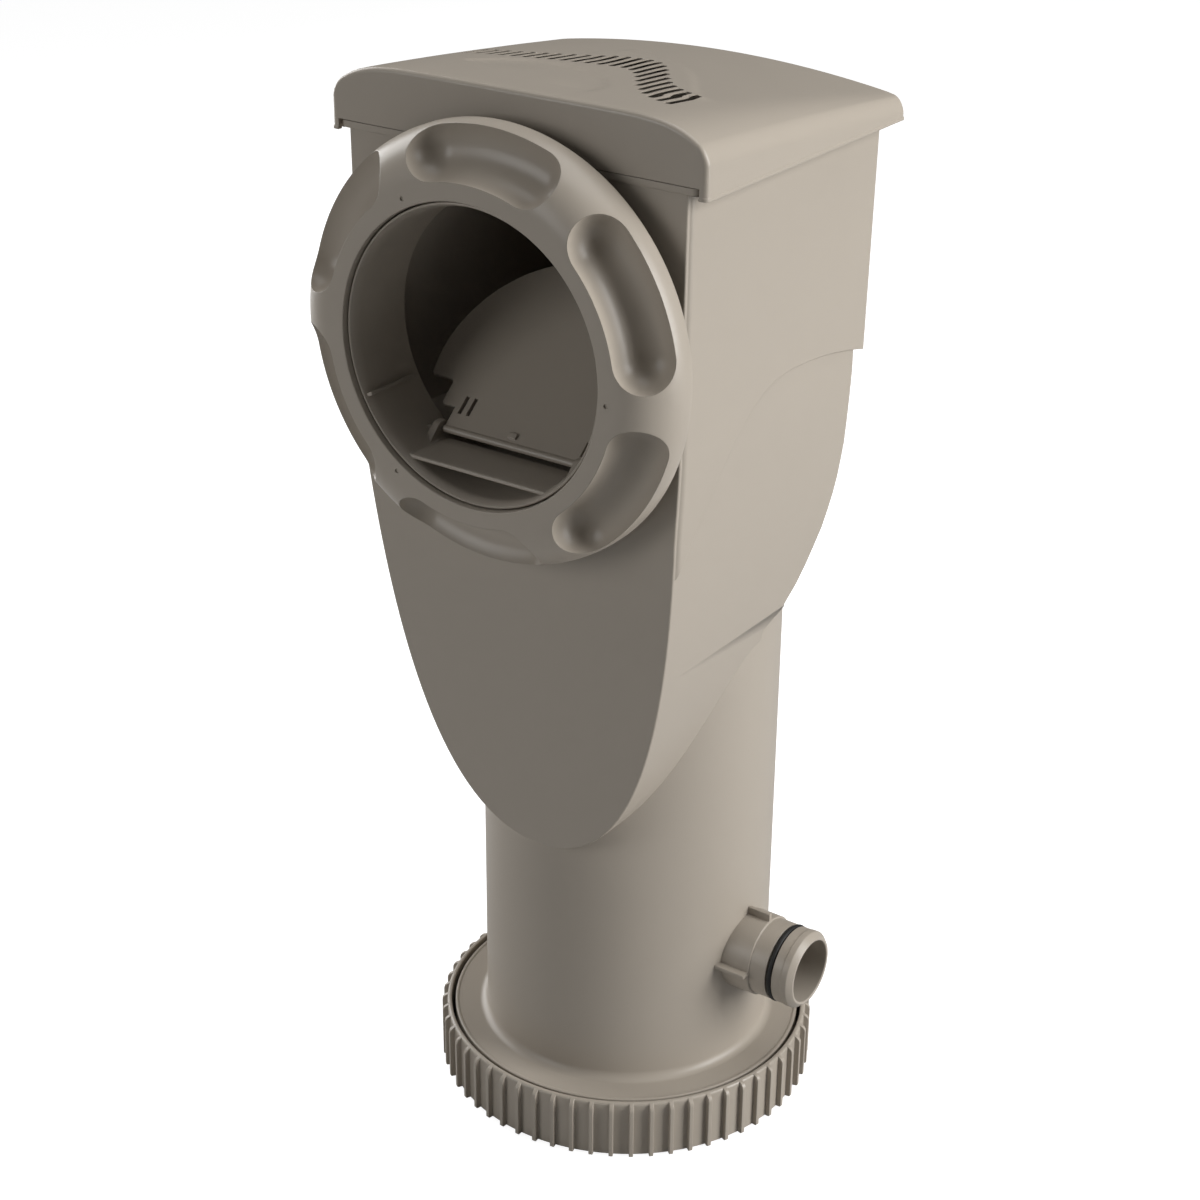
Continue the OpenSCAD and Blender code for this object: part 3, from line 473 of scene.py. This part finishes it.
# %% [markdown]
# The box front is an arched panel that narrows to a rounded tip. Its outline is one Bezier
# curve. The panel is drawn as a ladder: a run of points down one edge, extruded across to the
# other, so every rung is straight and level. Extruding the ladder backwards gives the sides.

# %% Outline of the box
edge_curve = [(94.6, 421), (90.0, 290), (66.0, 179.5), (0, 179.5)]
back_edge = [(296, -2), (300, 18), (305, 25.5), (320, 36), (339, 47.2), (360, 54.3),
             (382, 57.3), (421, 57.8), (560, 57.9)]
tube_middle_r, rim_top, wall_mm = 78.4, 553, 3


def on_curve(points, t):
    a, b, c, d = [Vector(p) for p in points]
    return (1 - t) ** 3 * a + 3 * (1 - t) ** 2 * t * b + 3 * (1 - t) * t * t * c + t ** 3 * d


def read_off(table, at):
    for (z0, y0), (z1, y1) in zip(table, table[1:]):
        if at <= z1:
            return y0 + (y1 - y0) * max(0, at - z0) / (z1 - z0)
    return table[-1][1]


def front_line(z):
    return -104 + max(0, 385 - z) * math.tan(math.radians(4.9))


def back_line(half, z):
    """From z 296 up the box has a back wall, and below that its sides run into the tube."""
    if z >= 296:
        return read_off(back_edge, z)
    return -math.sqrt(max(0, tube_middle_r ** 2 - min(half, tube_middle_r) ** 2))


rungs = []
for i in range(37):
    p = on_curve(edge_curve, 0.97 * (1 - i / 36) ** 1.15)
    rungs.append((p.x, p.y))
rungs += [(94.6 + 0.9 * (z - 421) / 132, z) for z in (440, 470, 500, 530, rim_top)]
print("rungs:", len(rungs), "tip rung half width", round(rungs[0][0], 1))


def ladder(name, rungs, front, back):
    piece = run_of_points(name, [Vector((-w, front(z), z)) * mm for w, z in rungs])
    edit(piece, "SELECT")
    drag((0.5, 0, 0))
    leave()
    level = {round(z, 3): w for w, z in rungs}
    for v in piece.data.vertices:
        if v.co.x > 0.2:
            v.co.x = level[min(level, key=lambda z: abs(z - v.co.z / mm))] * mm
    edit(piece, "SELECT", "FACE")
    drag((0, 1, 0))
    leave()
    for v in piece.data.vertices:
        if v.co.y > 0.5:
            z = v.co.z / mm
            v.co.y = back(level[min(level, key=lambda k: abs(k - z))], z) * mm
    return tidy_skin(piece)


def open_top(piece, top):
    edit(piece, "DESELECT", "FACE")
    leave()
    for face in piece.data.polygons:
        face.select = abs(face.center.z / mm - top) < 0.05
    bpy.ops.object.mode_set(mode="EDIT")
    bpy.ops.mesh.delete(type="FACE")
    leave()
    return piece


# %% [markdown]
# The panel's edge has a soft radius that catches the light all the way round the arch, so the
# outline edges of the ladder are bevelled before the body is made hollow with a wall of 3 mm.

# %% Front panel and sides
panel = ladder("box_panel", rungs, front_line, back_line)


def outline_edge(a, b):
    at_front = a.y < front_line(a.z) + 0.5 and b.y < front_line(b.z) + 0.5
    same_side = a.x * b.x > 0 and abs(a.z - b.z) > 0.01
    tip = abs(a.z - b.z) < 0.01 and a.z < 180.5
    return at_front and (same_side or tip)


bevel_edges(panel, outline_edge, 4.2, 5)
bevel_edges(panel, lambda a, b: min(a.y, b.y) > 15 and min(a.z, b.z) > 299 and a.x * b.x > 0
            and abs(a.z - b.z) > 1, 4.0, 4)
open_top(panel, rim_top)
finish_with(panel, "SOLIDIFY", thickness=wall_mm * mm, offset=-1, use_even_offset=False)
print("panel:", len(panel.data.polygons), "faces")

# %% [markdown]
# Above a long arched crease the box is 1.2 mm prouder and its back steps out, which makes room
# for the rim. This crown is a second ladder, cut along the crease by a prism. Where the cut
# leaves the back, its lower edge gets a wide bevel, and along the side walls a fine one.

# %% Crown of the box
crown_proud, step_z = 1.2, 441.5
crown_rungs = [(w + crown_proud, z) for w, z in rungs if z > 325]
crown = ladder("box_crown", crown_rungs, lambda z: front_line(z) + 0.35,
               lambda w, z: 66 + max(0, z - 421) / 66)
bevel_edges(crown, lambda a, b: a.x * b.x > 0 and abs(a.z - b.z) > 1 and abs(a.y - b.y) < 4, 4.2, 5)
open_top(crown, rim_top)
finish_with(crown, "SOLIDIFY", thickness=wall_mm * mm, offset=-1, use_even_offset=False)
to_back = [(88, 423.5), (50, 436.5), (20, step_z), (-10, step_z)]
to_front = [(-10, step_z), (-45, step_z), (-70, 415), (-106, 353.5)]
crease = ([on_curve(to_back, i / 14) for i in range(14)]
          + [on_curve(to_front, i / 16) for i in range(17)])
below = [(p.x, p.y) for p in crease] + [(-130, 353.5), (-130, 250), (88, 250)]
prism = plate("below_crease", below, (260, 0, 0), lambda a, b: (-130, a, b))
cut(crown, prism)


def rear_step(a, b):
    return min(a.y, b.y) > 65.4 and max(abs(a.z - step_z), abs(b.z - step_z)) < 0.7


def side_crease(a, b):
    on_a_side = min(abs(a.x), abs(b.x)) > 94 and a.x * b.x > 0
    along = max(a.z, b.z) < step_z + 0.3 and abs(a.y - b.y) > 0.5
    return on_a_side and along and min(a.y, b.y) > -99 and max(a.y, b.y) < 62


bevel_edges(crown, rear_step, 2.6, 4)
bevel_edges(crown, side_crease, 0.8, 2)
print("crown:", len(crown.data.polygons), "faces")

# %% [markdown]
# The tube's back stands proud of the box's back wall. A turned shoulder closes it and leans in
# under the step, and a flat rim with a hole for the lid's ledge finishes the top of the box.

# %% Shoulder, rim and basket seat
shoulder = turned("tube_shoulder", [(76.8, 330), (80, 330), (80, 400), (79.2, 405),
                                    (62.2, 443), (60, 445), (56.5, 445), (76.0, 403),
                                    (76.8, 398)])
keep_back = block("keep_back", (-90, 20, 300), (90, 90, 460))
finish_with(shoulder, "BOOLEAN", operation="INTERSECT", object=keep_back, solver="EXACT")
bpy.data.objects.remove(keep_back)


def hollow_block(name, low, high, wall):
    piece = block(name, low, high)
    bevel_edges(piece, lambda a, b: abs(a.z - b.z) > 1, 4, 4)
    edit(piece, "DESELECT", "FACE")
    leave()
    for face in piece.data.polygons:
        face.select = abs(face.normal.z) > 0.9
    bpy.ops.object.mode_set(mode="EDIT")
    bpy.ops.mesh.inset(thickness=wall * mm)
    bpy.ops.mesh.bridge_edge_loops()
    leave()
    return tidy_skin(piece)


rim = hollow_block("box_rim", (-101, -104.5, 549.5), (101, 67.7, rim_top), 8)
bevel_edges(rim, lambda a, b: abs(a.z - b.z) < 0.01
            and (max(abs(a.x), abs(b.x)) > 96 or min(a.y, b.y) < -104), 0.6, 2)
seat = block("basket_seat", (-92, -101, 395), (92, 54.5, 398))
only()
bpy.ops.mesh.primitive_cylinder_add(vertices=96, radius=72.5 * mm, depth=0.02,
                                    location=(0, 0, 0.3965))
cut(seat, fix_place(bpy.context.object))
only()
bpy.ops.mesh.primitive_cylinder_add(vertices=128, radius=72.9 * mm, depth=0.04,
                                    location=(0, -0.104, 0.464), rotation=(math.pi / 2, 0, 0))
hole = fix_place(bpy.context.object)
for piece in (panel, crown):
    finish_with(piece, "BOOLEAN", operation="DIFFERENCE", object=hole, solver="EXACT")
bpy.data.objects.remove(hole)
box_piece = joined("box_moulding", panel, crown, shoulder, rim, seat)
dress(box_piece, shell_plastic, "shell", "shell", "skimmer_box", angle=38)

# %% [markdown]
# The neck is a turned ring, and its mouth opens with a long inner chamfer. Inside it a shelf
# carries the hinge of the flap: two lugs stand on the shelf, the left one with a small gusset,
# and a thin rib runs along the left of the neck.

# %% Inlet neck
neck_z, shelf_top, hinge_y, hinge_z = 464, 406.5, -107.3, 411.3
neck_outline = [(69.5, 98.5), (77.8, 98.5), (77.8, 101), (72.8, 101), (72.8, 136.2),
                (72.4, 136.9), (71.8, 137.0), (71.3, 136.5), (70.6, 134.5), (69.5, 131.0)]
neck = turned("inlet_neck", neck_outline, 160, "Y", (0, 0, neck_z))
shelf = block("neck_shelf", (-40, -133.6, 404.3), (40, -106.4, shelf_top))
bevel_edges(shelf, lambda a, b: abs(a.y + 133.6) < 0.1 and abs(b.y + 133.6) < 0.1, 0.8, 3)
thin_rib = block("neck_rib", (-0.8, -136, -70.5), (0.8, -104, -67.6))
for v in thin_rib.data.vertices:
    v.co.rotate(Matrix.Rotation(math.radians(63), 3, "Y"))
    v.co.z += 0.464
lug_side = [(-12, -1), (4.5, -1), (4.5, 5), (3.6, 7.3), (2, 8.5), (-2, 8.5), (-3.4, 7.6)]
lugs = []
for x in (-44, 40):
    lug = plate("hinge_lug", lug_side, (4, 0, 0),
                lambda a, b, x=x: (x, a + hinge_y, b + shelf_top))
    bevel_edges(lug, lambda a, b: abs(a.x - b.x) < 0.01 and min(a.z, b.z) > 406.6, 0.5, 2)
    lugs.append(lug)
gusset = plate("lug_gusset", [(-14, -0.5), (0, -0.5), (0, 7), (-3, 6)], (0, 1.4, 0),
               lambda a, b: (-44 + a + 0.3, -112, b + shelf_top))
neck_piece = joined("neck_moulding", neck, shelf, thin_rib, gusset, *lugs)
dress(neck_piece, shell_plastic, "shell", "shell", "inlet_throat")

# %% [markdown]
# The flap, or weir, is an arched plate with narrowed lower corners and two little slots. It is
# drawn lying in its own plane, given rounded edges, and then leaned back by 50 degrees about
# the hinge line, which is where it rests when the pump is dry.

# %% Weir flap
flap_foot = [(39.5, 0.0), (39.5, 12.0), (46.6, 12.0), (48, 13.4), (48, 24.4), (49.6, 26.0),
             (61.0, 26.0)]
rise = [(64 * math.cos(math.radians(a)), 42 + 64 * math.sin(math.radians(a)))
        for a in range(-13, 90, 4)]
flap_edge = flap_foot + rise
flap_edge = flap_edge + [(-x, s) for x, s in reversed(flap_edge)]
flap = plate("weir_plate", flap_edge, (0, 2, 0), lambda a, b: (a, -1, b))
bevel_edges(flap, lambda a, b: abs(a.y - b.y) < 0.01, 0.6, 3)
for x in (-35, -30):
    slit = block("flap_slit", (x - 1, -3, 9), (x + 1, 3, 19))
    cut(flap, slit)
knuckle_outline = [(0.0001, -39.5), (1.5, -39.5), (1.8, -39.2), (1.8, 39.2), (1.5, 39.5),
                   (0.0001, 39.5)]
knuckle = turned("flap_knuckle", knuckle_outline, 32, "X")
pip = block("flap_pip", (-2.5, -2.2, 3.2), (2.5, -0.8, 6.5))
bevel_edges(pip, lambda a, b: True, 0.5, 2)
weir = joined("weir_moulding", flap, knuckle, pip)
for v in weir.data.vertices:
    v.co.rotate(Matrix.Rotation(math.radians(-50), 3, "X"))
    v.co += Vector((0, hinge_y, hinge_z)) * mm
dress(weir, loose_plastic, "weir", "shell_loose", "weir_door")

# %% [markdown]
# The hand nut is the showpiece. A domed ring is turned first. A finger scoop is cut by a bent
# bar with ball ends: a ball is added, and its rings of points are spread along an arc, so the
# middle becomes a bar and the two halves of the ball stay as its ends. Then the rim of each
# scoop is bevelled, because moulded edges are soft to the hand.

# %% Hand nut
dome_in, dome_back, dome_r, nut_face, nut_r = 83.2, 116.7, 23, 139.7, 106.2
dome = arc((dome_in, dome_back), dome_r, 90, 0, 20)
nut_outline = ([(73.35, 112.2), (73.35, 138.9), (73.7, 139.5), (74.4, nut_face)] + dome
               + [(nut_r, 113.4), (105.5, 112.2), (102.5, 112.2), (102.3, 115.8),
                  (101.7, 116.4), (79.4, 116.4), (78.8, 115.8), (78.8, 112.2)])
nut = turned("nut_moulding", nut_outline, 200, "Y", (0, 0, neck_z))
scoop_r, path_r, path_y, span = 14.5, 95.5, -134.0, math.radians(32.5)
scoop_middles = [math.radians(26.6 + 60 * number) for number in range(6)]
half_rings, bar_rings = 20, 8


def scoop_bar(middle):
    only()
    bpy.ops.mesh.primitive_uv_sphere_add(segments=36, ring_count=2 * half_rings,
                                         radius=scoop_r * mm)
    bar = bpy.context.object
    for v in bar.data.vertices:
        p = v.co / mm
        ring = math.asin(max(-1, min(1, p.z / scoop_r))) / math.radians(90 / half_rings)
        around = math.atan2(p.y, p.x)
        cap = max(0, abs(ring) - bar_rings) / (half_rings - bar_rings) * math.pi / 2
        out = scoop_r * math.cos(cap)
        beyond = scoop_r * math.sin(cap) * (1 if ring > 0 else -1)
        at = middle + span / 2 * max(-1, min(1, ring / bar_rings))
        reach = path_r + out * math.cos(around)
        v.co = Vector((reach * math.cos(at) - beyond * math.sin(at),
                       path_y + out * math.sin(around),
                       neck_z + reach * math.sin(at) + beyond * math.cos(at))) * mm
    return tidy_skin(bar)


for middle in scoop_middles:
    cut(nut, scoop_bar(middle))
for angle in (116.6, 236.6, 356.6):
    only()
    at = math.radians(angle)
    dimple = Vector((78 * math.cos(at), -139.9, neck_z + 78 * math.sin(at)))
    bpy.ops.mesh.primitive_cone_add(vertices=16, radius1=1.5 * mm, radius2=1.0 * mm, depth=2 * mm,
                                    rotation=(-math.pi / 2, 0, 0), location=dimple * mm)
    cut(nut, fix_place(bpy.context.object))


def from_scoop(p):
    """How far a point in mm is from the wall of the nearest scoop."""
    turn_at = math.atan2(p.z - neck_z, p.x)
    best = 99
    for middle in scoop_middles:
        off = (turn_at - middle + math.pi) % (2 * math.pi) - math.pi
        at = middle + max(-span / 2, min(span / 2, off))
        near = Vector((path_r * math.cos(at), path_y, neck_z + path_r * math.sin(at)))
        best = min(best, abs((p - near).length - scoop_r))
    return best


def from_dome(p):
    """How far a point in mm is from the front, the dome or the side of the turned ring."""
    r, h = math.hypot(p.x, p.z - neck_z), -p.y
    if r <= dome_in:
        return abs(h - nut_face)
    if h <= dome_back:
        return abs(r - nut_r)
    return abs(math.hypot(r - dome_in, h - dome_back) - dome_r)


rim_points = {}


def scoop_rim(a, b):
    for p in (a, b):
        key = (round(p.x, 3), round(p.y, 3), round(p.z, 3))
        if key not in rim_points:
            rim_points[key] = from_scoop(p) < 0.12 and from_dome(p) < 0.12
        if not rim_points[key]:
            return False
    return True


bevel_edges(nut, scoop_rim, 1.1, 3)
dress(nut, loose_plastic, "nut", "shell_loose", "flange_nut", angle=40)

# %% [markdown]
# The lid is a shallow cover with a crowned top. It starts as a block whose edges are rounded,
# then bisect planes divide its top so that it can bend. A smaller body of the same form is made
# for the hollow. Its walls stand in by 2.5 mm.

# %% Lid block and its hollow
lid_half = 105.8


def grid_cuts(piece, axis, low, high, fine_low, fine_high, fine, coarse):
    normal = (1, 0, 0) if axis == 0 else (0, 1, 0)
    edit(piece, "SELECT")
    at = low
    while at < high:
        bpy.ops.mesh.select_all(action="SELECT")
        bpy.ops.mesh.bisect(plane_co=Vector(normal) * at * mm, plane_no=normal)
        at += fine if fine_low <= at < fine_high else coarse
    leave()


def lid_body(name, wall, top):
    """A block with the lid's rounded edges, set in from its outside by a wall in mm."""
    half, front, back = lid_half - wall, -105 + wall, 72 - wall
    body = block(name, (-half, front, 548 - 3 * wall), (half, back, top))
    bevel_edges(body, lambda a, b: a.x * b.x > 0 and a.y * b.y < 0 and min(a.z, b.z) > 570,
                5.4 - wall, 6)
    bevel_edges(body, lambda a, b: min(a.y, b.y) > 60 and a.x * b.x > 0 and max(a.z, b.z) > 560
                and min(a.z, b.z) < 549, 9.0 - wall, 7)
    bevel_edges(body, lambda a, b: max(a.y, b.y) < front + 0.1 and max(a.z, b.z) > 560,
                max(0.3, 2.4 - wall), 4)
    return body


lid = lid_body("lid_moulding", 0, 582)
edit(lid, "SELECT")
for z in (549.3, 549.8):
    bpy.ops.mesh.select_all(action="SELECT")
    bpy.ops.mesh.bisect(plane_co=(0, 0, z * mm), plane_no=(0, 0, 1))
leave()
for v in lid.data.vertices:
    if v.co.z > 0.5496:
        v.co.x *= 105.45 / lid_half
        v.co.y = -0.0165 + (v.co.y + 0.0165) * 88.15 / 88.5
grid_cuts(lid, 0, -102, 102, -66, 72, 2.0, 4.0)
grid_cuts(lid, 1, -98, 62, -86, 38, 2.0, 6.0)
cavity = lid_body("lid_cavity", 2.5, 580.7)
grid_cuts(cavity, 0, -99, 99, 0, 0, 1, 3.0)
grid_cuts(cavity, 1, -96, 60, 0, 0, 1, 8.0)
print("lid after bisects:", len(lid.data.polygons), "faces")

# %% [markdown]
# Every point of the top then drops by a formula. The front is nearly flat across and turns down
# only near its sides, further back the whole width is one arch, and the top falls to the back.
# Two faint ledges follow listed lines: each lifts the surface on one side of its line and
# fades with distance. The hollow drops the same way, so the skin keeps its thickness.

# %% Bent top of the lid
ridge = [Vector(p) for p in ((-22.7, 30.9), (0.3, 20.1), (12, 13.2), (23.9, 4.3), (35, -8),
                             (44.7, -21.3), (53, -34), (59.5, -42.7), (66.5, -48.6))]
hollow = [Vector(p) for p in ((27, -79), (25.5, -66), (12, -48), (-5, -38), (-22, -32.5),
                              (-40, -32), (-53, -38.5), (-61, -52))]


def ledge(points, x, y, width, fade):
    """1 on the left of a curve and 0 on its right, fading with distance and past its ends."""
    here, best = Vector((x, y)), None
    for number, (a, b) in enumerate(zip(points, points[1:])):
        along = (here - a).dot(b - a) / (b - a).length_squared
        near = a + (b - a) * min(1, max(0, along))
        gap = (here - near).length
        if best is None or gap < best[0]:
            off_start, off_end = number == 0 and along < 0, number == len(points) - 2 and along > 1
            past = gap if off_start or off_end else 0
            side = 1 if (b - a).x * (here - a).y - (b - a).y * (here - a).x > 0 else -1
            best = (gap, side, past)
    gap, side, past = best
    near_line, before_end = 1 - soft_step(fade * 0.3, fade, gap), 1 - soft_step(0, 10, past)
    return soft_step(-width, width, gap * side) * near_line * before_end


def lid_drop(x, y):
    back = max(0, y + 102) / 168
    share, start = 0.03 + 0.7 * back, 22 + 63 * back
    turned_down = (max(0, abs(x) - start) / (lid_half - start)) ** 6
    arch = share * (x / lid_half) ** 2 + (1 - share) * turned_down
    crown = (13.8 - 1.9 * back) * arch + 13.7 * back ** 1.09
    return crown + 0.8 * ledge(hollow, x, y, 1.1, 26) - 0.9 * ledge(ridge[::-1], x, y, 1.1, 34)


for piece in (lid, cavity):
    edit(piece, "DESELECT", "FACE")
    bpy.ops.mesh.select_face_by_sides(number=4, type="GREATER", extend=False)
    bpy.ops.mesh.quads_convert_to_tris(ngon_method="BEAUTY")
    leave()
    for v in piece.data.vertices:
        if v.co.z > 0.562:
            v.co.z -= lid_drop(v.co.x / mm, v.co.y / mm) * mm
cut(lid, cavity)
cut(lid, block("front_notch", (-101.4, -107, 547), (101.4, -96, 553.3)))
print("bent lid:", len(lid.data.polygons), "faces")

# %% [markdown]
# Twenty-six slots follow a bow across the lid. The photograph looks along the lid at a low
# angle, where the walls of a slot in a thick skin catch the light and hide the dark below. So a
# pocket is cut from below along the same bow and leaves a skin of 0.5 mm, and each slot is a
# millimetre wider than in the solid. Six small tabs under the sides finish the lid.

# %% Slots and tabs of the lid
slot_pitch, slot_half = 6.4, 2.1


def slot_middle(x):
    return -5 - (60 if x > 0 else 20) * (1 - math.exp(-(x / (36 if x > 0 else 50)) ** 2))


def slot_length(x):
    return 27 if x > 0 else 20 + 8 * math.exp(-((x + 15) / 25) ** 2)


pocket = block("slot_pocket", (-98, -1, 561), (68, 1, 581.5))
grid_cuts(pocket, 0, -96, 68, 0, 0, 1, 2.0)
grid_cuts(pocket, 1, -0.9, 0.95, 0, 0, 1, 0.1)
for v in pocket.data.vertices:
    x = v.co.x / mm
    y = slot_middle(x) + v.co.y / mm * (slot_length(x) / 2 + 0.6)
    v.co.y = y * mm
    if v.co.z > 0.57:
        v.co.z -= lid_drop(x, y) * mm
cut(lid, pocket)
cutters = []
for number in range(26):
    x = -95 + slot_pitch * number
    middle, half = slot_middle(x), slot_length(x) / 2
    one = block("slot_cutter", (x - slot_half, middle - half, 556),
                (x + slot_half, middle + half, 590))
    bevel_edges(one, lambda a, b: abs(a.z - b.z) > 1, 1.5, 3)
    cutters.append(one)
cut(lid, joined("slot_cutters", *cutters))
tabs = []
for side in (-1, 1):
    for y in (-70, -10, 50):
        tabs.append(block("lid_tab", (side * 100.3 - 3.1, y, 553.3),
                          (side * 100.3 + 3.1, y + 2, 556.5)))
lid = joined("lid_moulding", lid, *tabs)
dress(lid, loose_plastic, "cover", "shell_loose", "lid", angle=30)

# %% [markdown]
# The side spigot is turned about its own axis: a thick root, a barrel with a groove for the
# black ring, and a rolled lip that leads into the hose. Four fins brace the root against the
# tube. The ring is a small circle spun round the same axis.

# %% Return spigot and its ring
spigot_outline = [(17.5, 72), (22.5, 72), (22.5, 93.5), (22.2, 93.9), (21.5, 94.0),
                  (21.5, 103.9), (21.2, 104.1), (18.9, 104.1), (18.9, 107.9), (21.2, 107.9),
                  (21.5, 108.1), (21.5, 113.2), (21.8, 113.6), (21.8, 116.7), (21.5, 117.3),
                  (19.3, 119.7), (18.7, 120.0), (17.8, 119.9), (17.5, 119.5)]


def off_the_tube(piece):
    only()
    bpy.ops.mesh.primitive_cylinder_add(vertices=192, radius=79.7 * mm, depth=0.12,
                                        location=(0, 0, spigot_z * mm))
    return cut(piece, fix_place(bpy.context.object))


spigot = off_the_tube(turned("spigot_barrel", spigot_outline, 128, "X", (0, 0, spigot_z)))
fins = []
for quarter in range(4):
    fin = block("spigot_fin", (70, -1.2, spigot_z + 20), (93.7, 1.2, spigot_z + 26.9))
    bevel_edges(fin, lambda a, b: min(a.z, b.z) > 120
                and (min(a.x, b.x) > 93 or abs(a.y - b.y) < 0.1), 0.6, 3)
    for v in fin.data.vertices:
        v.co -= Vector((0, 0, spigot_z)) * mm
        v.co.rotate(Matrix.Rotation(math.radians(90 * quarter), 3, "X"))
        v.co += Vector((0, 0, spigot_z)) * mm
    fins.append(off_the_tube(fin))
spigot = joined("spigot_moulding", spigot, *fins)
dress(spigot, shell_plastic, "shell", "shell", "outlet_spigot")
seal_ring = turned("spigot_ring", arc((20.4, 106), 1.48, 0, 337.5, 15), 128, "X", (0, 0, spigot_z))
dress(seal_ring, black_rubber, "shell", "seal", "outlet_o_ring")
